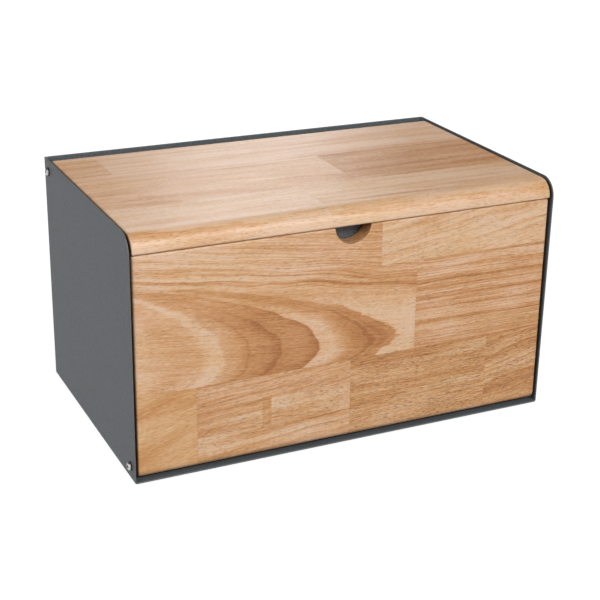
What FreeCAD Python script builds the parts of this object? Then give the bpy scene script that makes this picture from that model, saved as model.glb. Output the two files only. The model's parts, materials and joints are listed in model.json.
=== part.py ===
import FreeCAD, Part
import math
import os
import re

import Sketcher

# A bread bin: a folded sheet-steel case with two hardwood boards, a lid hinged at the top rear edge and a
# front flap hinged at the bottom front edge. Each board turns on two button-head screws.
# Frame: +X to the right, +Y to the rear, +Z up; the origin is on the worktop under the middle of the case.

# Driving dimensions, in millimetres and degrees: alias, value, what it measures.
DIMENSIONS = [
    ("case_width", 400.0, "outside width of the case"),
    ("case_depth", 240.0, "outside depth of the case"),
    ("case_height", 220.0, "height of the case above its feet"),
    ("sheet", 1.2, "thickness of the steel sheet"),
    ("bend_radius", 2.0, "outside radius of a bend in the sheet"),
    ("side_corner_radius", 17.0, "upper front corner of each side wall"),
    ("edge_ease", 0.35, "rounding of the cut edges of the sheet"),
    ("flange_depth", 5.0, "flanges of the back panel"),
    ("vent_diameter", 5.0, "vent hole"),
    ("vent_pitch", 14.0, "spacing of the vent holes"),
    ("vent_count", 9.0, "vent holes in a row"),
    ("vent_height", 172.0, "lower row of vent holes, above the case bottom"),
    ("rail_setback", 19.9, "case front to the face of the cross rail"),
    ("rail_depth", 20.0, "top flange of the cross rail"),
    ("rail_height", 25.0, "front flange of the cross rail"),
    ("rail_top", 201.2, "top of the cross rail, above the case bottom"),
    ("board", 16.0, "thickness of the lid and the flap"),
    ("board_end_gap", 2.3, "side wall to the end of a board"),
    ("lid_drop", 1.0, "top of the side walls to the top of the lid"),
    ("lid_setback", 0.6, "case front to the front of the lid"),
    ("lid_rear_gap", 4.8, "back panel to the rear edge of the lid"),
    ("lid_ease", 1.5, "rounding of the lower edges and the ends of the lid"),
    ("lid_nose_radius", 14.2, "upper front edge of the lid"),
    ("lid_rear_radius", 9.0, "upper rear edge of the lid"),
    ("lid_pivot_drop", 10.1, "top of the lid to its pivot"),
    ("lid_pivot_inset", 5.8, "rear edge of the lid to its pivot"),
    ("flap_height", 198.3, "height of the flap"),
    ("flap_lean", 0.6, "how far the closed flap leans back, in degrees"),
    ("flap_pivot_height", 12.4, "case bottom to the pivot of the flap"),
    ("flap_pivot_setback", 11.0, "case front to the pivot of the flap"),
    ("flap_pivot_inset", 10.7, "face of the flap to its pivot"),
    ("flap_heel", 8.5, "pivot of the flap to its bottom edge"),
    ("flap_toe_radius", 7.6, "lower front edge of the flap, which swings past the case bottom"),
    ("flap_ease", 2.2, "rounding of the other edges of the flap"),
    ("notch_radius", 17.0, "finger notch"),
    ("notch_ease", 1.0, "rounding of the edges of the notch"),
    ("notch_rise", 0.9, "top of the flap to the centre of the notch"),
    ("screw_diameter", 3.9, "shank of a pivot screw"),
    ("screw_head_diameter", 7.0, "low button head"),
    ("screw_head_height", 1.8, "low button head"),
    ("washer_diameter", 8.4, "washer under the head, which turns with the screw"),
    ("washer", 0.5, "thickness of that washer"),
    ("washer_gap", 0.3, "side wall to the washer"),
    ("socket_width", 2.5, "hexagon socket across its flats"),
    ("socket_depth", 1.1, "hexagon socket"),
    ("bush_bore", 4.0, "bore of a pivot bush"),
    ("bush_diameter", 6.0, "barrel of a pivot bush, and its hole in the side wall"),
    ("bush_flange_diameter", 11.0, "flange of a pivot bush"),
    ("bush_flange", 2.0, "thickness of that flange, which spaces the board off the wall"),
    ("insert_diameter", 6.0, "threaded insert in the end of a board"),
    ("insert_length", 12.0, "threaded insert"),
    ("insert_groove", 0.4, "depth and half width of the grooves round an insert"),
    ("magnet_diameter", 8.0, "disc magnet let into the flap"),
    ("magnet_depth", 2.0, "disc magnet"),
    ("magnet_spread", 90.0, "middle of the flap to a magnet"),
    ("magnet_height", 176.0, "pivot of the flap to the magnets"),
    ("bumper_diameter", 8.0, "stick-on bumper"),
    ("bumper_spread", 150.0, "middle of the rail to a bumper"),
    ("flap_bumper", 1.4, "thickness of the bumpers behind the flap"),
    ("lid_bumper", 1.5, "thickness of the bumpers under the lid"),
    ("foot_diameter", 12.0, "rubber foot"),
    ("foot_height", 2.0, "rubber foot"),
    ("foot_inset", 24.0, "case edge to the centre of a foot"),
    ("pad_ease", 0.5, "rounding of the feet and bumpers"),
]
DIM = {alias: value for alias, value, _ in DIMENSIONS}

doc = FreeCAD.newDocument("bread_bin")
sheet = doc.addObject("Spreadsheet::Sheet", "Dim")
for row, (alias, value, note) in enumerate(DIMENSIONS, start=1):
    sheet.set(f"A{row}", note)
    sheet.set(f"B{row}", str(value))
    sheet.setAlias(f"B{row}", alias)
doc.recompute()
pieces = []


def formula(text):
    """The same formula with each alias pointed at its cell of the sheet."""
    return re.sub(r"[a-z_]{2,}", lambda word: f"Dim.{word[0]}" if word[0] in DIM else word[0], text)


def new_body(name, x="0", y="0", z="0", turn=FreeCAD.Rotation()):
    """An empty body, turned, with its local origin at the given formulas."""
    body = doc.addObject("PartDesign::Body", name)
    body.Label = name
    body.Placement = FreeCAD.Placement(FreeCAD.Vector(), turn)
    for axis, place in zip("xyz", (x, y, z)):
        body.setExpression(f"Placement.Base.{axis}", formula(place))
    pieces.append(body)
    return body


def new_sketch(body, role, offset="0"):
    """A sketch on one of the body's own origin planes, moved along its normal by a formula."""
    sketch = body.newObject("Sketcher::SketchObject", f"{body.Name}_sketch")
    plane = next(f for f in body.Origin.OriginFeatures if f.Role == role)
    sketch.AttachmentSupport = [(plane, "")]
    sketch.MapMode = "FlatFace"
    sketch.setExpression("AttachmentOffset.Base.z", formula(offset))
    return sketch


def drive(sketch, kind, *where, by):
    """One dimension of a sketch, driven by a formula."""
    index = sketch.addConstraint(Sketcher.Constraint(kind, *where, 1.0))
    sketch.setExpression(f"Constraints[{index}]", formula(by))


def rectangle(sketch, left, bottom, width, height):
    """An upright rectangle, from the formulas of its lower left corner and its two sides."""
    corners = [FreeCAD.Vector(x, y) for x, y in ((0, 0), (1, 0), (1, 1), (0, 1))]
    first = sketch.GeometryCount
    for index, corner in enumerate(corners):
        sketch.addGeometry(Part.LineSegment(corner, corners[(index + 1) % 4]))
    for index in range(4):
        sketch.addConstraint(Sketcher.Constraint("Coincident", first + index, 2, first + (index + 1) % 4, 1))
        sketch.addConstraint(Sketcher.Constraint(("Horizontal", "Vertical")[index % 2], first + index))
    drive(sketch, "DistanceX", -1, 1, first, 1, by=left)
    drive(sketch, "DistanceY", -1, 1, first, 1, by=bottom)
    drive(sketch, "DistanceX", first, 1, first, 2, by=width)
    drive(sketch, "DistanceY", first + 1, 1, first + 1, 2, by=height)


def circle(sketch, across, up, diameter):
    """A circle, from the formulas of its centre and its diameter."""
    index = sketch.addGeometry(Part.Circle(FreeCAD.Vector(0, 0), FreeCAD.Vector(0, 0, 1), 1.0))
    drive(sketch, "DistanceX", -1, 1, index, 3, by=across)
    drive(sketch, "DistanceY", -1, 1, index, 3, by=up)
    drive(sketch, "Diameter", index, by=diameter)


def hexagon(sketch, across_flats):
    """A regular hexagon round the origin, with its corners on a construction circle."""
    corners = [FreeCAD.Vector(math.cos(math.pi * k / 3), math.sin(math.pi * k / 3)) for k in range(6)]
    ring = sketch.addGeometry(Part.Circle(FreeCAD.Vector(0, 0), FreeCAD.Vector(0, 0, 1), 1.0), True)
    sketch.addConstraint(Sketcher.Constraint("Coincident", ring, 3, -1, 1))
    drive(sketch, "Diameter", ring, by=f"2 * {across_flats} / sqrt(3)")
    first = sketch.GeometryCount
    for index, corner in enumerate(corners):
        sketch.addGeometry(Part.LineSegment(corner, corners[(index + 1) % 6]))
    for index in range(6):
        sketch.addConstraint(Sketcher.Constraint("Coincident", first + index, 2, first + (index + 1) % 6, 1))
        sketch.addConstraint(Sketcher.Constraint("PointOnObject", first + index, 1, ring))
        if index:
            sketch.addConstraint(Sketcher.Constraint("Equal", first, first + index))
    sketch.addConstraint(Sketcher.Constraint("PointOnObject", first, 1, -1))


def pad(sketch, length, symmetric=False, back=False):
    """Material raised from a sketch; back turns it against the normal of the sketch."""
    feature = sketch.getParent().newObject("PartDesign::Pad", f"{sketch.Name}_pad")
    feature.Profile = sketch
    feature.setExpression("Length", formula(length))
    feature.SideType = "Symmetric" if symmetric else "One side"
    feature.Reversed = back
    doc.recompute()
    return feature


def pocket(sketch, depth=None, back=False):
    """Material cut from a sketch, right through both ways unless a depth is given; it must remove something."""
    body = sketch.getParent()
    before = body.Shape.Volume
    feature = body.newObject("PartDesign::Pocket", f"{sketch.Name}_pocket")
    feature.Profile = sketch
    if depth is None:
        feature.Type = "ThroughAll"
        feature.SideType = "Symmetric"
    else:
        feature.setExpression("Length", formula(depth))
        feature.Reversed = back
    doc.recompute()
    if body.Shape.Volume >= before:
        raise RuntimeError(f"{feature.Name} cuts nothing")
    return feature


def edges(feature, **where):
    """Names of the edges that lie wholly at the given x, y or z: a number, or "min" or "max" of the shape."""
    def extent(shape, axis):
        box = shape.BoundBox
        return getattr(box, f"{axis.upper()}Min"), getattr(box, f"{axis.upper()}Max")

    def fits(edge):
        for axis, place in where.items():
            if place in ("min", "max"):
                place = extent(feature.Shape, axis)[place == "max"]
            if max(abs(end - place) for end in extent(edge, axis)) > 0.01:
                return False
        return True

    return [f"Edge{number}" for number, edge in enumerate(feature.Shape.Edges, start=1) if fits(edge)]


def arcs(feature, radius):
    """Names of the edges that are arcs of the given radius."""
    names = []
    for number, edge in enumerate(feature.Shape.Edges, start=1):
        try:
            found = edge.Curve.Radius
        except (AttributeError, TypeError):
            continue
        if abs(found - radius) < 0.01:
            names.append(f"Edge{number}")
    return names


def fillet(feature, names, radius):
    """Edges of a feature rounded to a formula's radius."""
    rounded = feature.getParent().newObject("PartDesign::Fillet", f"{feature.Name}_fillet")
    rounded.Base = (feature, sorted(set(names)))
    rounded.setExpression("Radius", formula(radius))
    doc.recompute()
    return rounded


# Places that several pieces share, as formulas in the case's own frame (z from the case bottom).
LID_PIVOT = ("case_depth / 2 - sheet - lid_rear_gap - lid_pivot_inset", "case_height - lid_drop - lid_pivot_drop")
FLAP_PIVOT = ("flap_pivot_setback - case_depth / 2", "flap_pivot_height")
BOARD_LENGTH = "case_width - 2 * sheet - 2 * board_end_gap"
INNER_WIDTH = "case_width - 2 * sheet"


def housing_wrap():
    """Left wall, bottom and right wall: one sheet with two bends, and a hole for each pivot bush."""
    body = new_body("housing_wrap", z="foot_height")
    outline = new_sketch(body, "XZ_Plane")
    rectangle(outline, "-case_width / 2", "0", "case_width", "case_height")
    block = pad(outline, "case_depth", symmetric=True)
    inside = new_sketch(body, "XZ_Plane")
    rectangle(inside, f"-({INNER_WIDTH}) / 2", "sheet", INNER_WIDTH, "case_height")
    channel = pocket(inside)
    bent = fillet(channel, edges(channel, x="min", z="min") + edges(channel, x="max", z="min"), "bend_radius")
    inner_x = DIM["case_width"] / 2 - DIM["sheet"]
    inner_edges = edges(bent, x=-inner_x, z=DIM["sheet"]) + edges(bent, x=inner_x, z=DIM["sheet"])
    bent = fillet(bent, inner_edges, "bend_radius - sheet")
    cornered = fillet(bent, edges(bent, y="min", z="max"), "side_corner_radius")
    holes = new_sketch(body, "YZ_Plane")
    for across, up in (LID_PIVOT, FLAP_PIVOT):
        circle(holes, across, up, "bush_diameter")
    pierced = pocket(holes)
    rims = edges(pierced, y="min") + edges(pierced, y="max") + edges(pierced, z="max")
    rims += arcs(pierced, DIM["side_corner_radius"])
    lengths = {name: pierced.Shape.getElement(name).Length for name in rims}
    fillet(pierced, [name for name in rims if lengths[name] > 2 * DIM["sheet"]], "edge_ease")


def back_panel():
    """A shallow tray with flanges down both sides and along the bottom, and two rows of vent holes."""
    body = new_body("back_panel", z="foot_height")
    outline = new_sketch(body, "XZ_Plane", "-case_depth / 2")
    rectangle(outline, f"-({INNER_WIDTH}) / 2", "sheet", INNER_WIDTH, "case_height - sheet")
    block = pad(outline, "flange_depth")
    tray_inside = new_sketch(body, "XZ_Plane", "sheet - case_depth / 2")
    rectangle(tray_inside, f"sheet - ({INNER_WIDTH}) / 2", "2 * sheet", f"{INNER_WIDTH} - 2 * sheet", "case_height")
    tray = pocket(tray_inside, "flange_depth", back=True)
    outer = edges(tray, y="max", x="min") + edges(tray, y="max", x="max") + edges(tray, y="max", z="min")
    corners = edges(tray, z="min", x="min") + edges(tray, z="min", x="max")
    bent = fillet(tray, outer + corners, "bend_radius")
    inner_y = DIM["case_depth"] / 2 - DIM["sheet"]
    fillet(bent, edges(bent, z="max", y="max") + edges(bent, z="max", y=inner_y), "edge_ease")
    first_holes = new_sketch(body, "XZ_Plane")
    for row_height in ("vent_height", "vent_height + vent_pitch"):
        circle(first_holes, "-vent_pitch * (vent_count - 1) / 2", row_height, "vent_diameter")
    first_pair = pocket(first_holes)
    vents = body.newObject("PartDesign::LinearPattern", "vents")
    vents.Originals = [first_pair]
    vents.Direction = (first_holes, ["H_Axis"])
    vents.setExpression("Length", formula("vent_pitch * (vent_count - 1)"))
    vents.Occurrences = int(DIM["vent_count"])
    body.Tip = vents
    doc.recompute()


def front_rail():
    """Cross rail between the side walls: an angle with closed ends, the stop and strike for both boards."""
    body = new_body("front_rail", z="foot_height")
    outline = new_sketch(body, "XY_Plane", "rail_top")
    rectangle(outline, f"-({INNER_WIDTH}) / 2", "rail_setback - case_depth / 2", INNER_WIDTH, "rail_depth")
    block = pad(outline, "rail_height", back=True)
    under = new_sketch(body, "XY_Plane", "rail_top - sheet")
    rectangle(
        under,
        f"sheet - ({INNER_WIDTH}) / 2",
        "rail_setback - case_depth / 2 + sheet",
        f"{INNER_WIDTH} - 2 * sheet",
        "rail_depth",
    )
    angle = pocket(under, "rail_height")
    fillet(angle, edges(angle, y="min", z="max"), "bend_radius")


def board_holes(body):
    """A blind hole in each end of a board for its threaded insert, on the pivot axis."""
    for side, back in (("1", False), ("-1", True)):
        mouth = new_sketch(body, "YZ_Plane", f"{side} * ({BOARD_LENGTH}) / 2")
        circle(mouth, "0", "0", "insert_diameter")
        pocket(mouth, "insert_length", back=back)


def lid_board():
    """The lid: its local origin is on its pivot axis."""
    body = new_body("lid_board", y=LID_PIVOT[0], z=f"foot_height + {LID_PIVOT[1]}")
    depth = "case_depth - sheet - lid_setback - lid_rear_gap"
    profile = new_sketch(body, "YZ_Plane")
    rectangle(profile, f"lid_pivot_inset - ({depth})", "lid_pivot_drop - board", depth, "board")
    block = pad(profile, BOARD_LENGTH, symmetric=True)
    nosed = fillet(block, edges(block, y="min", z="max"), "lid_nose_radius")
    rounded = fillet(nosed, edges(nosed, y="max", z="max"), "lid_rear_radius")
    sharp = edges(rounded, x="min") + edges(rounded, x="max") + edges(rounded, z="min")
    fillet(rounded, sharp, "lid_ease")
    board_holes(body)


def flap_board():
    """The front flap: its local origin is on its pivot axis, and it leans back when closed."""
    leaning = FreeCAD.Rotation(FreeCAD.Vector(-1, 0, 0), 1)
    body = new_body("flap_board", y=FLAP_PIVOT[0], z=f"foot_height + {FLAP_PIVOT[1]}", turn=leaning)
    body.setExpression("Placement.Rotation.Angle", formula("flap_lean"))
    profile = new_sketch(body, "YZ_Plane")
    rectangle(profile, "-flap_pivot_inset", "-flap_heel", "board", "flap_height")
    block = pad(profile, BOARD_LENGTH, symmetric=True)
    toed = fillet(block, edges(block, y="min", z="min"), "flap_toe_radius")
    sharp = edges(toed, x="min") + edges(toed, x="max") + edges(toed, y="min", z="max")
    sharp += edges(toed, y="max", z="max") + edges(toed, y="max", z="min")
    fillet(toed, sharp, "flap_ease")
    bite = new_sketch(body, "XZ_Plane")
    circle(bite, "0", "flap_height - flap_heel + notch_rise", "2 * notch_radius")
    notched = pocket(bite)
    fillet(notched, arcs(notched, DIM["notch_radius"]), "notch_ease")
    board_holes(body)
    recesses = new_sketch(body, "XZ_Plane", "flap_pivot_inset - board")
    for side in ("-1", "1"):
        circle(recesses, f"{side} * magnet_spread", "magnet_height", "magnet_diameter")
    pocket(recesses, "magnet_depth", back=True)


def flap_magnet(name, side):
    """Disc magnet flush with the rear face of the flap."""
    magnet = doc.addObject("Part::Cylinder", name)
    magnet.Label = name
    magnet.setExpression("Radius", formula("magnet_diameter / 2"))
    magnet.setExpression("Height", formula("magnet_depth"))
    bottom = DIM["board"] - DIM["flap_pivot_inset"] - DIM["magnet_depth"]
    place = FreeCAD.Vector(side * DIM["magnet_spread"], bottom, DIM["magnet_height"])
    to_rear = FreeCAD.Rotation(FreeCAD.Vector(0, 0, 1), FreeCAD.Vector(0, 1, 0))
    flap = doc.getObject("flap_board")
    magnet.Placement = flap.Placement * FreeCAD.Placement(place, to_rear)
    pieces.append(magnet)


def side_body(name, pivot, side):
    """A body on a pivot axis at the outer face of a side wall, with local +X pointing out of the case."""
    outwards = FreeCAD.Rotation(FreeCAD.Vector(1, 0, 0), FreeCAD.Vector(side, 0, 0))
    return new_body(name, f"{side} * case_width / 2", pivot[0], f"foot_height + {pivot[1]}", outwards)


def pivot_screw(name, pivot, side):
    """Button-head screw with a hexagon socket, through the washer and the bush and into the insert."""
    body = side_body(name, pivot, side)
    head_outline = new_sketch(body, "YZ_Plane", "washer_gap + washer")
    circle(head_outline, "0", "0", "screw_head_diameter")
    head = pad(head_outline, "screw_head_height")
    fillet(head, edges(head, x="max"), "0.8 * screw_head_height")
    shank_outline = new_sketch(body, "YZ_Plane", "washer_gap + washer")
    circle(shank_outline, "0", "0", "screw_diameter")
    pad(shank_outline, "washer_gap + washer + sheet + board_end_gap + insert_length", back=True)
    socket = new_sketch(body, "YZ_Plane", "washer_gap + washer + screw_head_height")
    hexagon(socket, "socket_width")
    pocket(socket, "socket_depth")


def pivot_washer(name, pivot, side):
    """Flat nylon washer clamped under a screw head, a running gap off the wall."""
    body = side_body(name, pivot, side)
    ring = new_sketch(body, "YZ_Plane", "washer_gap")
    circle(ring, "0", "0", "washer_diameter")
    circle(ring, "0", "0", "screw_diameter")
    pad(ring, "washer")


def pivot_bush(name, pivot, side):
    """Flanged bush: its barrel fills the hole in the side wall, its flange spaces the board off the wall."""
    body = side_body(name, pivot, side)
    barrel = new_sketch(body, "YZ_Plane")
    flange = new_sketch(body, "YZ_Plane", "-sheet")
    for outline, diameter, length in (
        (barrel, "bush_diameter", "sheet"),
        (flange, "bush_flange_diameter", "bush_flange"),
    ):
        circle(outline, "0", "0", diameter)
        circle(outline, "0", "0", "bush_bore")
        pad(outline, length, back=True)


def threaded_insert(name, pivot, side):
    """Brass sleeve pressed into the end of a board, with two grooves round it."""
    body = side_body(name, pivot, side)
    sleeve = new_sketch(body, "YZ_Plane", "-sheet - board_end_gap")
    circle(sleeve, "0", "0", "insert_diameter")
    circle(sleeve, "0", "0", "screw_diameter")
    pad(sleeve, "insert_length", back=True)
    section = new_sketch(body, "XZ_Plane")
    for third in (1, 2):
        across = f"-sheet - board_end_gap - insert_length * {third} / 3 - insert_groove"
        rectangle(section, across, "insert_diameter / 2 - insert_groove", "2 * insert_groove", "insert_groove")
    grooves = body.newObject("PartDesign::Groove", f"{name}_grooves")
    before = body.Shape.Volume
    grooves.Profile = section
    grooves.ReferenceAxis = (section, ["H_Axis"])
    grooves.Angle = 360
    doc.recompute()
    if body.Shape.Volume >= before:
        raise RuntimeError(f"{name} has no grooves")


def disc(name, place, diameter, thickness, towards):
    """Round pad with an eased outer rim, stuck on at a place and facing a direction."""
    body = new_body(name, *place, turn=FreeCAD.Rotation(FreeCAD.Vector(0, 0, 1), towards))
    outline = new_sketch(body, "XY_Plane")
    circle(outline, "0", "0", diameter)
    block = pad(outline, thickness)
    fillet(block, edges(block, z="max"), "pad_ease")


def bumpers(side_name, side):
    """On the cross rail: one bumper for the flap on its face and one for the lid on its top."""
    across = f"{side} * bumper_spread"
    face = (across, "rail_setback - case_depth / 2", "foot_height + rail_top - rail_height / 2")
    top = (across, "rail_setback + rail_depth / 2 - case_depth / 2", "foot_height + rail_top")
    disc(f"flap_bumper_{side_name}", face, "bumper_diameter", "flap_bumper", FreeCAD.Vector(0, -1, 0))
    disc(f"lid_bumper_{side_name}", top, "bumper_diameter", "lid_bumper", FreeCAD.Vector(0, 0, 1))


def foot(name, side, end):
    """Rubber foot under a corner of the case."""
    place = (f"{side} * (case_width / 2 - foot_inset)", f"{end} * (case_depth / 2 - foot_inset)", "foot_height")
    disc(name, place, "foot_diameter", "foot_height", FreeCAD.Vector(0, 0, -1))


def check(piece):
    """Stops the run unless the piece is one sound solid."""
    if piece.Shape.isNull() or not piece.Shape.isValid() or len(piece.Shape.Solids) != 1:
        raise RuntimeError(f"{piece.Label} is not one valid solid")


housing_wrap()
back_panel()
front_rail()
lid_board()
flap_board()
for side_name, side in (("left", -1), ("right", 1)):
    for board, pivot in (("lid", LID_PIVOT), ("flap", FLAP_PIVOT)):
        pivot_screw(f"{board}_pivot_screw_{side_name}", pivot, side)
        pivot_washer(f"{board}_pivot_washer_{side_name}", pivot, side)
        pivot_bush(f"{board}_pivot_bush_{side_name}", pivot, side)
        threaded_insert(f"{board}_threaded_insert_{side_name}", pivot, side)
    flap_magnet(f"flap_magnet_{side_name}", side)
    bumpers(side_name, side)
    for end_name, end in (("front", -1), ("rear", 1)):
        foot(f"foot_{end_name}_{side_name}", side, end)

doc.recompute()
for item in doc.Objects:
    if "Invalid" in item.State or "Error" in item.State:
        raise RuntimeError(f"{item.Name} failed: {item.State}")
os.makedirs("parts", exist_ok=True)
for piece in pieces:
    check(piece)
    piece.Shape.exportStep(f"parts/{piece.Label}.step")
    print(f"{piece.Label}: {piece.Shape.Volume:.0f} mm3")
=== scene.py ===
import json
import math
from collections import namedtuple

import bpy
from mathutils import Euler, Matrix, Vector


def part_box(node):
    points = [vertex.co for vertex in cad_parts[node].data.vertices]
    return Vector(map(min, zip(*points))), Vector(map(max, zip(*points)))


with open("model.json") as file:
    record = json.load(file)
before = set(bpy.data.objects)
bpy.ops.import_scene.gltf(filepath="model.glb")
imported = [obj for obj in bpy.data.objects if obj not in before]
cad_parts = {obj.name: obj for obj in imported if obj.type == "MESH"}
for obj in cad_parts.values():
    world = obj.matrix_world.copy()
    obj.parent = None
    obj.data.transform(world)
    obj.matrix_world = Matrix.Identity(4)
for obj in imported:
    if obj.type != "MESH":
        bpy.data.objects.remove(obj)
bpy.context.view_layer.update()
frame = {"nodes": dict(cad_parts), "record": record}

MM = 0.001
nodes = frame["nodes"]


# ---------------------------------------------------------------- material building


class Value:
    """A number that varies over a surface; arithmetic with it builds Math nodes."""

    def __init__(self, graph, socket):
        self.graph = graph
        self.socket = socket

    def __add__(self, other):
        return self.graph.math("ADD", self, other)

    def __sub__(self, other):
        return self.graph.math("SUBTRACT", self, other)

    def __rsub__(self, other):
        return self.graph.math("SUBTRACT", other, self)

    def __mul__(self, other):
        return self.graph.math("MULTIPLY", self, other)

    def __truediv__(self, other):
        return self.graph.math("DIVIDE", self, other)

    def __gt__(self, other):
        return self.graph.math("GREATER_THAN", self, other)

    def __abs__(self):
        return self.graph.math("ABSOLUTE", self)

    __radd__ = __add__
    __rmul__ = __mul__


class Graph:
    """The node tree of one material, around a single Principled shader."""

    def __init__(self, name, **constants):
        self.material = bpy.data.materials.new(name)
        self.material.use_nodes = True
        self.tree = self.material.node_tree
        self.shader = self.tree.nodes["Principled BSDF"]
        for socket, number in constants.items():
            self.shader.inputs[socket.replace("_", " ")].default_value = number

    def plug(self, socket, item):
        """Links a socket to a Value or another socket, or sets it to a constant."""
        if isinstance(item, Value):
            item = item.socket
        if isinstance(item, bpy.types.NodeSocket):
            self.tree.links.new(item, socket)
        else:
            socket.default_value = item

    def node(self, kind, inputs=(), **settings):
        made = self.tree.nodes.new(f"ShaderNode{kind}")
        for setting, choice in settings.items():
            setattr(made, setting, choice)
        for socket, item in dict(inputs).items():
            self.plug(made.inputs[socket], item)
        return made

    def math(self, operation, *terms, clamp=False):
        made = self.node("Math", enumerate(terms), operation=operation, use_clamp=clamp)
        return Value(self, made.outputs[0])

    def place(self):
        """Object coordinates in millimetres, as three values."""
        split = self.node("SeparateXYZ", {0: self.node("TexCoord").outputs["Object"]})
        return [Value(self, socket) * 1000.0 for socket in split.outputs]

    def noise(self, x, y, z, detail=2.0, roughness=0.5):
        """Fractal noise around 0.5, with cells 1 unit of x, y and z across."""
        vector = self.node("CombineXYZ", enumerate((x, y, z))).outputs[0]
        inputs = {"Vector": vector, "Scale": 1.0, "Detail": detail, "Roughness": roughness}
        return Value(self, self.node("TexNoise", inputs).outputs["Fac"])

    def swing(self, x, y, z, detail=2.0, roughness=0.5):
        """The same noise around 0."""
        return self.noise(x, y, z, detail, roughness) - 0.5

    def curve(self, value, *points):
        """A value drawn through (input, output) points between 0 and 1."""
        ramp = self.node("ValToRGB", {0: value})
        self._stops(ramp, [(at, (level, level, level, 1.0)) for at, level in points])
        return Value(self, ramp.outputs["Color"])

    def colours(self, value, *stops):
        """A colour drawn through (input, colour) points between 0 and 1."""
        ramp = self.node("ValToRGB", {0: value})
        self._stops(ramp, stops)
        return ramp.outputs["Color"]

    def smooth(self, value, low, high, start=0.0, end=1.0):
        """A value that goes gently from start to end while the given one goes from low to high."""
        inputs = {0: value, 1: low, 2: high, 3: start, 4: end}
        return Value(self, self.node("MapRange", inputs, interpolation_type="SMOOTHSTEP").outputs[0])

    def _stops(self, ramp, stops):
        elements = ramp.color_ramp.elements
        elements[0].position, elements[0].color = stops[0]
        elements[1].position, elements[1].color = stops[-1]
        for position, colour in stops[1:-1]:
            elements.new(position).color = colour

    def pick(self, factor, first, second):
        """A vector: the first where the factor is 0, the second where it is 1."""
        made = self.node("Mix", data_type="VECTOR")
        self.plug(made.inputs["Factor"], factor)
        ends = [s for s in made.inputs if s.type == "VECTOR" and s.name in "AB"]
        for socket, item in zip(ends, (first, second)):
            self.plug(socket, item)
        return next(s for s in made.outputs if s.type == "VECTOR")

    def mix(self, factor, first, second, blend="MIX"):
        """A colour: the first where the factor is 0, the second blended in where it is 1."""
        made = self.node("Mix", data_type="RGBA", blend_type=blend)
        self.plug(made.inputs["Factor"], factor)
        for socket, item in zip([s for s in made.inputs if s.type == "RGBA"], (first, second)):
            self.plug(socket, item)
        return next(s for s in made.outputs if s.type == "RGBA")

    def bump(self, height, distance):
        made = self.node("Bump", {"Height": height, "Distance": distance, "Strength": 1.0})
        self.plug(self.shader.inputs["Normal"], made.outputs[0])

    def finish(self, colour, roughness=None):
        self.plug(self.shader.inputs["Base Color"], colour)
        if roughness is not None:
            self.plug(self.shader.inputs["Roughness"], roughness)
        return self.material


def linear(red, green, blue):
    """A scene-linear colour from the everyday 0 to 255 scale."""
    channels = [c / 255 for c in (red, green, blue)]
    return (*(c / 12.92 if c <= 0.04045 else ((c + 0.055) / 1.055) ** 2.4 for c in channels), 1.0)


# ---------------------------------------------------------------- rubberwood

# One glued stave of a board, in millimetres: left and right along the grain, low and high across it.
# The growth rings are shells round a line that leans out of the board: centre and slope place that line
# across the board, depth and tilt its distance behind the face, and period is the width of a ring.
# strength is the contrast of the rings, shade how dark the stave is, warmth runs from pink to gold, and
# pores says how thickly the dark pores lie.
Stave = namedtuple("Stave", "left right low high centre slope depth tilt period strength shade warmth pores")

WOOD_TONES = (
    (0.0, linear(209, 178, 148)),
    (0.2, linear(203, 164, 128)),
    (0.5, linear(188, 138, 92)),
    (0.85, linear(165, 109, 62)),
    (1.0, linear(146, 90, 47)),
)
PINK_TINT = (1.0, 0.965, 0.98, 1.0)
GOLD_TINT = (1.0, 0.985, 0.84, 1.0)
PORE_BROWN = linear(92, 50, 22)
GLUE_HALF_WIDTH = 0.15

# The wide stave of the flap has pointed arches lying on their side. Each ring crosses the arches' middle
# line at a place along the board; the darkness at that place is given here, and it drops where a ring ends.
# The list was thinned, rounded and sharpened by hand from the photo's brightness along that line, which a
# script had read every 3.3 mm.
ARCH_LINE = 98.6
ARCH_SLOPE = -0.04
ARCH_SHIFT = 5.0
ARCH_OPENING = 0.0388
ARCH_GROWTH = 0.000155
ARCH_LOWER_SIDE = 0.44
ARCH_WIDEST = 4200.0
ARCH_FADED = 0.44
arch_rings = (
    (-200, 0.12), (-165, 0.34), (-142, 0.3), (-135, 0.08), (-124, 0.08), (-119, 0.32), (-108, 0.46),
    (-101, 0.62), (-98.5, 0.82), (-96.5, 0.64), (-80, 0.76), (-71, 1.0), (-69, 0.74), (-60, 0.68),
    (-45, 0.76), (-34, 0.95), (-32.8, 0.2), (-20, 0.14), (-10, 0.42), (1, 0.7), (12, 0.74), (16, 0.92),
    (21, 0.88), (23, 0.66), (30, 0.84), (37, 0.64), (42, 0.74), (44.5, 0.34), (46, 0.08), (70, 0.08),
)
# Above the arches the same rings run on as nearly straight streaks, which fall to the right.
STREAK_FALL = 0.144
arch_streaks = (
    (144, 0.14), (149, 0.2), (150.2, 0.42), (151.6, 0.28), (153.2, 0.66), (155.0, 0.56), (156.0, 0.26),
    (159.0, 0.3), (160.5, 0.55), (162.0, 0.36), (164.0, 0.48), (166.0, 0.26), (170.0, 0.28),
    (172.0, 0.4), (174.0, 0.24), (182.0, 0.32), (186.0, 0.42), (188.0, 0.28), (196.0, 0.38),
    (200.0, 0.28), (210.0, 0.32),
)
STREAKS_BEGIN, STREAKS_ALONE = 145.0, 151.0
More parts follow.
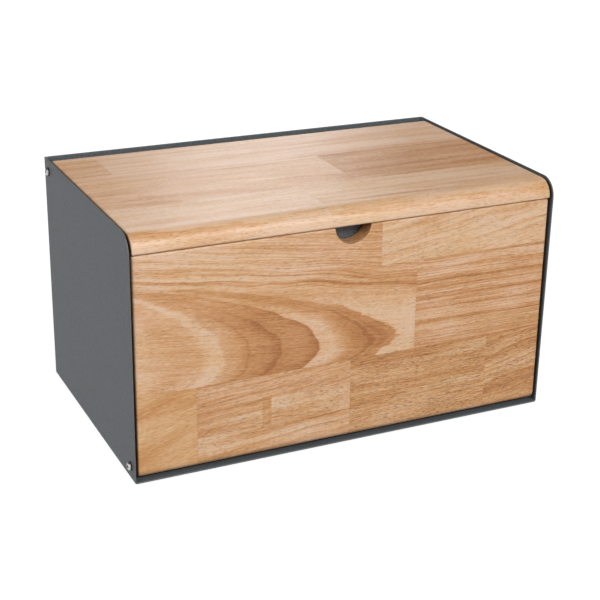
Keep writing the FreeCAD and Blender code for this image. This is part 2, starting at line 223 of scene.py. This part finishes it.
# Right of the arches the streaks lie almost straight along the board; these are their heights.
band_streaks = (
    (81, 0.44), (84, 0.52), (90, 0.38), (93, 0.5), (96, 0.4), (104, 0.42), (106.4, 0.74), (108, 0.34),
    (113, 0.24), (117, 0.34), (118.5, 0.66), (120, 0.42), (126, 0.4), (128.6, 0.76), (130.5, 0.5),
    (133, 0.2), (136, 0.3), (137.5, 0.66), (139, 0.42), (141.5, 0.4), (143.5, 0.85), (146, 0.46),
    (149, 0.26), (153, 0.32), (156, 0.6), (158, 0.26), (162, 0.24), (166, 0.4),
)


def drawn_ramp(graph, value, stops):
    """Reads a value in millimetres against a list of (place, darkness)."""
    low, high = stops[0][0], stops[-1][0]
    points = [((at - low) / (high - low), level) for at, level in stops]
    return graph.curve((value - low) / (high - low), *points)


def arched_figure(graph, along, across, depth):
    """Darkness of the wide stave from its drawn rings. The arches open out as the square of the height from
    their middle line, faster below it, and the outer ones come to a ragged point."""
    height = across - ARCH_LINE - ARCH_SLOPE * along
    below = graph.math("LESS_THAN", height, 0.0)
    spread = graph.math("MINIMUM", height * height * (below * ARCH_LOWER_SIDE + 1.0), ARCH_WIDEST)
    wobble = graph.swing(along / 45.0, across / 16.0, depth / 16.0, detail=1.0)
    ripple = graph.swing(along / 26.0, across / 7.5, depth / 9.0, detail=3.0, roughness=0.6)
    place = along - ARCH_SHIFT + ARCH_OPENING * spread + depth * 1.5 + wobble * 12.0
    place = place / (1.0 - ARCH_GROWTH * spread)
    outer = graph.smooth(place, 0.0, 25.0)
    point = graph.math("MINIMUM", abs(height), 12.0) * 0.7
    place = place + point * outer + ripple * (outer * 22.0 + 4.0)
    arches = drawn_ramp(graph, place, arch_rings)
    fading = graph.smooth(spread, 300.0, 2400.0, 0.0, 0.7) * graph.smooth(place, -125.0, -105.0)
    arches = arches + (ARCH_FADED - arches) * fading

    sway = graph.swing(along / 70.0, across / 20.0, depth / 20.0, detail=1.0)
    level = across + STREAK_FALL * along + sway * 9.0 + depth * 0.4
    streaks = drawn_ramp(graph, level, arch_streaks)
    fine = graph.swing(along / 110.0, level / 1.2, depth / 1.5, detail=3.0, roughness=0.65)
    above = graph.smooth(level, STREAKS_BEGIN, STREAKS_ALONE)
    streaks = streaks + fine * 1.7 + graph.smooth(along, -120.0, 30.0, -0.16, 0.14)
    return arches + (streaks - arches) * above


def banded_figure(graph, along, across, depth):
    """Darkness of the stave right of the arches."""
    sway = graph.swing(along / 80.0, across / 22.0, depth / 20.0, detail=2.0)
    level = across + along * 0.012 + sway * 5.0 + depth * 0.3
    fine = graph.swing(along / 140.0, level / 1.1, depth / 1.5, detail=3.0, roughness=0.65)
    return drawn_ramp(graph, level, band_streaks) * 0.8 + 0.07 + fine * 1.7


# The end joints between staves are jagged: each tooth is twice TOOTH_WIDTH wide, and its flanks run along the
# board by TOOTH_SLOPE for each millimetre across it.
TOOTH_WIDTH = 1.6
TOOTH_SLOPE = 0.6
GLUE_DARKNESS = 0.22
END_GRAIN_DARKNESS = 0.25
WOOD_RELIEF = 0.00008


def rubberwood(name, axes, face, staves, figures):
    """Edge-glued rubberwood. axes gives the board's along, across and depth directions as indices of X, Y, Z,
    face is where its show face lies along depth, and figures draws the rings of the staves it numbers."""
    graph = Graph(name, IOR=1.45, Coat_Weight=0.08, Coat_Roughness=0.32)
    place = graph.place()
    along, across, depth = (place[axis] for axis in axes)
    depth = abs(depth - face)

    sway = graph.swing(along / 120.0, across / 30.0, depth / 30.0, detail=1.0)
    tooth = graph.math("PINGPONG", across + sway * 6.0, TOOTH_WIDTH)
    jagged = along + tooth * TOOTH_SLOPE

    # Each stave is a mask that chooses its own numbers; where two overlap, the later one lies on top.
    first = staves[0]
    heart = (first.centre, first.slope, first.depth)
    rings = (first.tilt, first.period, first.strength)
    looks = (first.shade, first.warmth, first.pores)
    glue = 0.0
    drawn = {}
    for number, stave in enumerate(staves):
        half_length = (stave.right - stave.left) / 2
        half_width = (stave.high - stave.low) / 2
        end_room = half_length - abs(jagged - (stave.left + stave.right) / 2)
        edge_room = half_width - abs(across - (stave.low + stave.high) / 2)
        room = graph.math("MINIMUM", end_room, edge_room)
        inside = room > 0.0
        glue = graph.math("MAXIMUM", glue, graph.math("COMPARE", room, 0.0, GLUE_HALF_WIDTH))
        heart = graph.pick(inside, heart, (stave.centre, stave.slope, stave.depth))
        rings = graph.pick(inside, rings, (stave.tilt, stave.period, stave.strength))
        looks = graph.pick(inside, looks, (stave.shade, stave.warmth, stave.pores))
        drawn = {earlier: mask * (1.0 - inside) for earlier, mask in drawn.items()}
        if number in figures:
            drawn[number] = inside
    centre, slope, behind = (Value(graph, s) for s in graph.node("SeparateXYZ", {0: heart}).outputs)
    tilt, period, strength = (Value(graph, s) for s in graph.node("SeparateXYZ", {0: rings}).outputs)
    shade, warmth, pore_share = (Value(graph, s) for s in graph.node("SeparateXYZ", {0: looks}).outputs)

    # Noise is read at a place of its own in each stave, so that no figure runs on across a joint.
    shift = centre * 3.7 + behind * 1.3
    own = across + shift
    wave = graph.swing(along / 95.0, own / 26.0, depth / 26.0, detail=2.0)
    ripple = graph.swing(along / 22.0, own / 7.0, depth / 9.0, detail=2.0)
    sideways = across - centre - slope * along + wave * 9.0 + ripple * 1.8
    inwards = behind + tilt * along + depth
    radius = graph.math("SQRT", sideways * sideways + inwards * inwards)

    turn = radius / period + wave * 0.8
    within = graph.math("FRACT", turn)
    ring = graph.math("FLOOR", turn)
    contrast = Value(graph, graph.node("TexWhiteNoise", {"W": ring}, noise_dimensions="1D").outputs["Value"])
    band = graph.curve(within, (0.0, 0.25), (0.45, 0.35), (0.8, 0.7), (0.93, 1.0), (1.0, 0.25)) - 0.42
    lines = graph.swing(radius / 1.5, along / 160.0, shift, detail=3.0, roughness=0.6)
    broad = graph.swing(radius / 9.0, along / 170.0, shift, detail=1.0)
    darkness = shade + strength * (band * (contrast * 1.1 + 0.15) + lines * 1.5) + broad * 0.9
    for number, mask in drawn.items():
        drawing = figures[number](graph, along, across, depth)
        darkness = darkness + (drawing - darkness) * mask

    grain = own - slope * along + wave * 5.0
    streak = graph.swing(along / 110.0, grain / 2.2, depth / 2.2, detail=3.0, roughness=0.6)
    hair = graph.noise(along / 48.0, grain / 0.8, depth / 0.8, detail=2.0)
    hair = graph.smooth(hair, 0.56, 0.72)
    fibre = graph.swing(along / 16.0, grain / 0.7, depth / 0.7, detail=3.0, roughness=0.6)
    fleck = graph.swing(along / 4.5, own, depth, detail=1.0)
    cloud = graph.swing(along / 70.0, own / 34.0, depth / 34.0, detail=2.0)
    darkness = darkness + streak * 0.35 + hair * (pore_share * 0.4 + 0.08)
    darkness = darkness + fibre * 0.75 + fleck * 0.6 + cloud * 0.5

    colour = graph.colours(darkness, *WOOD_TONES)
    hue = graph.math("ADD", warmth + (darkness - 0.35) * 0.7, cloud * 1.2 + streak * 0.6, clamp=True)
    colour = graph.mix(1.0, colour, graph.mix(hue, PINK_TINT, GOLD_TINT), blend="MULTIPLY")

    patches = graph.swing(along / 60.0, own / 12.0, depth / 12.0, detail=1.0)
    dashes = graph.noise(along / 5.0, own / 0.5, depth / 0.5, detail=1.0)
    pore = graph.smooth(dashes + patches * 0.16 + pore_share * 0.1, 0.66, 0.76)
    colour = graph.mix(pore * (pore_share * 0.35 + 0.3), colour, PORE_BROWN)
    colour = graph.mix(glue * GLUE_DARKNESS, colour, PORE_BROWN)

    facing = graph.node("SeparateXYZ", {0: graph.node("TexCoord").outputs["Normal"]}).outputs[axes[0]]
    end_grain = graph.smooth(abs(Value(graph, facing)), 0.6, 0.95)
    colour = graph.mix(end_grain * END_GRAIN_DARKNESS, colour, PORE_BROWN)

    graph.bump(fibre * 0.35 - pore + streak * 0.4, WOOD_RELIEF)
    return graph.finish(colour, roughness=0.42 + fibre * 0.16 + pore * 0.08)


# ---------------------------------------------------------------- metal, plastic and rubber


EDGE_WIDTH = 0.0007
EDGE_WEAR_AND_HIGHLIGHT = 0.4
PAINT_RELIEF = 0.00005


def powder_coat(name):
    """Mid-grey powder paint: fine orange peel, a little uneven gloss, and paler along the edges, partly as
    wear and partly as a painted highlight.
    """
    graph = Graph(name, IOR=1.5, Specular_IOR_Level=0.25)
    x, y, z = graph.place()
    peel = graph.noise(x / 0.55, y / 0.55, z / 0.55, detail=2.0)
    grain = graph.noise(x / 0.16, y / 0.16, z / 0.16, detail=1.0)
    speckle = graph.noise(x / 1.5, y / 1.5, z / 1.5, detail=3.0, roughness=0.85)
    cloud = graph.noise(x / 60.0, y / 60.0, z / 60.0, detail=3.0)
    rub = graph.smooth(graph.noise(x / 18.0, y / 3.0, z / 9.0, detail=4.0), 0.6, 0.8)
    colour = graph.mix(cloud, linear(66, 71, 74), linear(73, 78, 81))
    colour = graph.mix(graph.smooth(grain, 0.35, 0.7) * 0.4, colour, linear(102, 107, 110))
    colour = graph.mix(graph.smooth(speckle, 0.42, 0.6) * 0.55, colour, linear(104, 109, 112))
    colour = graph.mix(rub * 0.06, colour, linear(120, 124, 126))
    # Painted highlight and wear: the colour is lightened along the edges, standing in partly for light
    # catching the rounded edges.
    softened = graph.node("Bevel", {"Radius": EDGE_WIDTH}, samples=6).outputs[0]
    true = graph.node("NewGeometry").outputs["Normal"]
    turned = graph.node("VectorMath", {0: softened, 1: true}, operation="DOT_PRODUCT").outputs["Value"]
    edge = graph.smooth(turned, 0.999, 0.93) * (0.75 + cloud * 0.4 + rub * 0.3)
    colour = graph.mix(edge * EDGE_WEAR_AND_HIGHLIGHT, colour, linear(150, 154, 157))
    graph.bump(peel + grain * 0.35, PAINT_RELIEF)
    return graph.finish(colour, roughness=0.46 + peel * 0.14 + rub * 0.05)


LATHE_PITCH = 1.2
LATHE_RELIEF = 0.00001
SOCKET_RADIUS = 1.4
SOCKET_PAINTED_SHADE = linear(38, 35, 32)


def bare_metal(name, colour, worn, roughness, sockets=()):
    """Turned or plated metal with fine rings of tool marks and small stains, and painted shade in the sockets
    of any screws, whose (y, z) centres are given in millimetres."""
    graph = Graph(name, Metallic=1.0)
    x, y, z = graph.place()
    marks = graph.noise(x / 0.05, y / LATHE_PITCH, z / LATHE_PITCH, detail=2.0)
    stain = graph.noise(x / 1.5, y / 1.5, z / 1.5, detail=3.0)
    tint = graph.mix(graph.smooth(stain, 0.45, 0.75), colour, worn)
    # Painted shade: the colour is darkened within each screw socket, standing in for the shade in the hex
    # recess.
    for centre_y, centre_z in sockets:
        rise, run = y - centre_y, z - centre_z
        reach = graph.math("SQRT", rise * rise + run * run)
        tint = graph.mix(graph.smooth(reach, SOCKET_RADIUS + 0.2, SOCKET_RADIUS - 0.1), tint, SOCKET_PAINTED_SHADE)
    graph.bump(marks, LATHE_RELIEF)
    return graph.finish(tint, roughness=roughness + stain * 0.2 + marks * 0.08)


MOULD_RELIEF = 0.00003


def moulded(name, dark, light, roughness, sheen=0.0):
    """Moulded plastic or rubber with a fine spark-eroded grain."""
    graph = Graph(name, Sheen_Weight=sheen)
    x, y, z = graph.place()
    grain = graph.noise(x / 0.12, y / 0.12, z / 0.12, detail=2.0)
    dust = graph.noise(x / 2.5, y / 2.5, z / 2.5, detail=3.0)
    colour = graph.mix(graph.smooth(dust, 0.4, 0.8), dark, light)
    graph.bump(grain, MOULD_RELIEF)
    return graph.finish(colour, roughness=roughness + grain * 0.12)


# ---------------------------------------------------------------- staves, and a material for each piece

X, Y, Z = range(3)
FLAP_LOW, FLAP_HIGH = (corner[Z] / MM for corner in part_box("flap_board"))
FLAP_LEFT, FLAP_RIGHT = (corner[X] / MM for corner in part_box("flap_board"))
LID_FRONT, LID_REAR = (corner[Y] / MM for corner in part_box("lid_board"))
FLAP_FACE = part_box("flap_board")[0][Y] / MM
LID_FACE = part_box("lid_board")[1][Z] / MM

# The outer staves reach this far past the edges of their board, so that no glue line lies along an edge.
MARGIN = 3.0
FAR_LEFT, FAR_RIGHT = FLAP_LEFT - MARGIN, FLAP_RIGHT + MARGIN
flap_staves = [
    # the wide stave with the arches, the top right corner, the banded stave and a thin golden one over it
    Stave(FAR_LEFT, 64, 81, FLAP_HIGH + MARGIN, 95.9, -0.12, 98.4, 0.16, 6.0, 0.9, 0.4, 0.5, 0.35),
    Stave(28, FAR_RIGHT, 164.5, FLAP_HIGH + MARGIN, -60, 0.16, 40, 0.05, 7.5, 0.4, 0.12, 0.6, 0.5),
    Stave(64, FAR_RIGHT, 81, 164.5, 340, 0.01, 120, 0.03, 9.0, 0.7, 0.32, 0.35, 0.5),
    Stave(70, FAR_RIGHT, 162.4, 164.5, 340, 0.01, 120, 0.03, 9.0, 0.3, 0.75, 1.6, 0.2),
    # below them, from left to right
    Stave(FAR_LEFT, -143, FLAP_LOW - MARGIN, 81, 52, 0.25, 30, 0.28, 11.0, 0.12, 0.42, 1.5, 0.0),
    Stave(-143, 1, 59, 81, -160, 0.08, 40, 0.04, 8.5, 0.6, 0.34, 0.4, 0.6),
    Stave(-143, -77, 34, 59, 260, 0.05, 25, 0.08, 8.0, 0.35, 0.38, 0.5, 0.7),
    Stave(-83, -75, 33, 55, 260, 0.05, 25, 0.08, 8.0, 0.3, 0.6, 0.9, 0.3),
    Stave(-75, 1, 34, 59, 250, 0.0, 80, 0.02, 10.0, 0.3, 0.16, 0.4, 0.8),
    Stave(-143, 1, FLAP_LOW - MARGIN, 34, -210, 0.07, 55, 0.03, 9.0, 0.6, 0.26, 0.5, 0.6),
    Stave(1, 140, 36, 81, 290, -0.01, 50, 0.02, 7.0, 0.35, 0.44, 0.8, 1.0),
    Stave(1, 140, FLAP_LOW - MARGIN, 36, -170, 0.02, 50, 0.03, 7.0, 0.35, 0.42, 0.8, 1.0),
    Stave(140, FAR_RIGHT, FLAP_LOW - MARGIN, 81, -30, 0.22, 45, 0.06, 9.0, 0.6, 0.52, 0.7, 0.9),
]
lid_staves = [
    # from the rear to the front
    Stave(FAR_LEFT, FAR_RIGHT, 33, LID_REAR + MARGIN, 330, 0.0, 60, 0.04, 19.0, 0.2, 0.15, 0.2, 0.25),
    Stave(FAR_LEFT, -158, 45, 98, -40, 0.02, 40, 0.04, 14.0, 0.4, 0.34, 0.4, 0.3),
    Stave(FAR_LEFT, 38, -51, 27, -70, 0.02, 70, 0.12, 21.0, 0.3, 0.28, 0.35, 0.3),
    Stave(37, FAR_RIGHT, -51, 32, 240, 0.0, 60, 0.05, 17.0, 0.22, 0.46, 0.3, 0.7),
    Stave(FAR_LEFT, -20, LID_FRONT - MARGIN, -50, -300, 0.0, 50, 0.03, 18.0, 0.4, 0.08, 0.45, 0.35),
    Stave(-20, FAR_RIGHT, LID_FRONT - MARGIN, -50, 200, -0.02, 50, 0.05, 19.0, 0.4, 0.1, 0.5, 0.35),
]

screw_centres = [
    [sum(corner[axis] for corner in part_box(screw)) / 2 / MM for axis in (Y, Z)]
    for screw in ("lid_pivot_screw_left", "flap_pivot_screw_left")
]

materials = {
    "powder_coated_steel": powder_coat("powder_coated_steel_look"),
    "screw_steel": bare_metal(
        "screw_steel_look", linear(196, 196, 194), linear(140, 140, 138), 0.24, sockets=screw_centres
    ),
    "brass": bare_metal("brass_look", linear(214, 176, 98), linear(150, 116, 60), 0.28),
    "magnet": bare_metal("magnet_look", linear(214, 214, 216), linear(170, 170, 172), 0.12),
    "nylon": moulded("nylon_look", linear(34, 34, 36), linear(52, 52, 54), 0.42),
    "bumper_rubber": moulded(
        "bumper_rubber_look", linear(150, 150, 148), linear(170, 170, 168), 0.35, sheen=0.1
    ),
    "foot_rubber": moulded("foot_rubber_look", linear(30, 30, 31), linear(60, 60, 58), 0.7, sheen=0.2),
}
flap_figures = {0: arched_figure, 2: banded_figure}
boards = {
    "flap_board": rubberwood("flap_wood_look", (X, Z, Y), FLAP_FACE, flap_staves, flap_figures),
    "lid_board": rubberwood("lid_wood_look", (X, Y, Z), LID_FACE, lid_staves, {}),
}
slots = {entry["node"]: entry["material_slot"] for entry in frame["record"]["subparts"]}
for name, node in nodes.items():
    look = boards.get(name) or materials[slots[name]]
    for material_slot in node.material_slots:
        material_slot.material = look


# ---------------------------------------------------------------- floor, light and camera

FLOOR_SIZE = 12.0
FLOOR_GAP = 0.0002
FLOOR_GLOW = 0.9
ROOM_STRENGTH = 0.15
PAPER_STRENGTH = 1.0

Light = namedtuple("Light", "name place aim sides power")
lights = (
    Light("front_box", (0.6, -3.25, 2.45), (0.0, 0.0, 0.1), (2.2, 0.9), 126.0),
    Light("low_card", (0.3, -2.2, 0.25), (0.0, -0.12, 0.05), (1.6, 0.3), 9.5),
    Light("left_box", (-1.3, -0.45, 0.8), (-0.2, 0.0, 0.12), (0.7, 0.7), 9.0),
    Light("rear_panel", (0.8, 1.95, 1.12), (-0.05, 0.0, 0.22), (0.5, 0.8), 6.3),
    Light("right_fill", (2.8, 0.9, 1.0), (0.2, 0.0, 0.1), (1.2, 1.0), 34.0),
    Light("back_fill", (-1.1, 3.0, 1.1), (0.0, 0.12, 0.1), (1.4, 1.0), 38.0),
)


def studio():
    """A pale floor that glows but casts no diffuse light on the object, a room that is white to look at and
    lights the object faintly, and soft lights: a large one high at the front right, small ones low at the
    front, at the left and behind, and two fills at the right and behind that make no highlights."""
    bpy.ops.mesh.primitive_plane_add(size=FLOOR_SIZE, location=(0.0, 0.0, -FLOOR_GAP))
    floor = bpy.context.object
    floor.name = "studio_floor"
    white = (1.0, 1.0, 1.0, 1.0)
    graph = Graph(
        "studio_floor_look", Roughness=0.9, IOR=1.2, Emission_Color=white, Emission_Strength=FLOOR_GLOW
    )
    x, y, _ = graph.place()
    mottle = graph.noise(x / 400.0, y / 400.0, 0.0, detail=2.0)
    floor.data.materials.append(graph.finish(graph.mix(mottle, linear(118, 118, 118), linear(122, 122, 122))))
    floor.visible_diffuse = False

    world = bpy.data.worlds.new("white_room")
    world.use_nodes = True
    tree = world.node_tree
    room, paper = tree.nodes["Background"], tree.nodes.new("ShaderNodeBackground")
    for background, strength in ((room, ROOM_STRENGTH), (paper, PAPER_STRENGTH)):
        background.inputs["Color"].default_value = white
        background.inputs["Strength"].default_value = strength
    seen = tree.nodes.new("ShaderNodeMixShader")
    tree.links.new(tree.nodes.new("ShaderNodeLightPath").outputs["Is Camera Ray"], seen.inputs[0])
    tree.links.new(room.outputs[0], seen.inputs[1])
    tree.links.new(paper.outputs[0], seen.inputs[2])
    tree.links.new(seen.outputs[0], tree.nodes["World Output"].inputs["Surface"])
    bpy.context.scene.world = world

    for light in lights:
        data = bpy.data.lights.new(light.name, "AREA")
        data.shape = "RECTANGLE"
        data.size, data.size_y = light.sides
        data.energy = light.power
        holder = bpy.data.objects.new(light.name, data)
        bpy.context.collection.objects.link(holder)
        holder.location = light.place
        holder.visible_glossy = not light.name.endswith("_fill")
        outward = Vector(light.aim) - Vector(light.place)
        holder.rotation_euler = outward.to_track_quat("-Z", "Y").to_euler()


CAMERA_AZIMUTH = math.radians(-25.404)
CAMERA_ELEVATION = math.radians(22.079)
CAMERA_ROLL = math.radians(1.005)
CAMERA_PLACE = Vector((-0.5143, -1.0972, 0.5844))
CAMERA_LENS = 83.239
SENSOR_WIDTH = 36.0


def camera():
    """Looks down at the left front corner, a little off level."""
    data = bpy.data.cameras.new("camera")
    data.lens = CAMERA_LENS
    data.sensor_width = SENSOR_WIDTH
    holder = bpy.data.objects.new("camera", data)
    bpy.context.collection.objects.link(holder)
    tilt = Euler((math.pi / 2 - CAMERA_ELEVATION, 0.0, CAMERA_AZIMUTH), "XYZ").to_matrix()
    turn = (tilt @ Matrix.Rotation(CAMERA_ROLL, 3, "Z")).to_4x4()
    holder.matrix_world = Matrix.Translation(CAMERA_PLACE) @ turn
    bpy.context.scene.camera = holder


studio()
camera()
bpy.context.scene.view_settings.view_transform = "Standard"
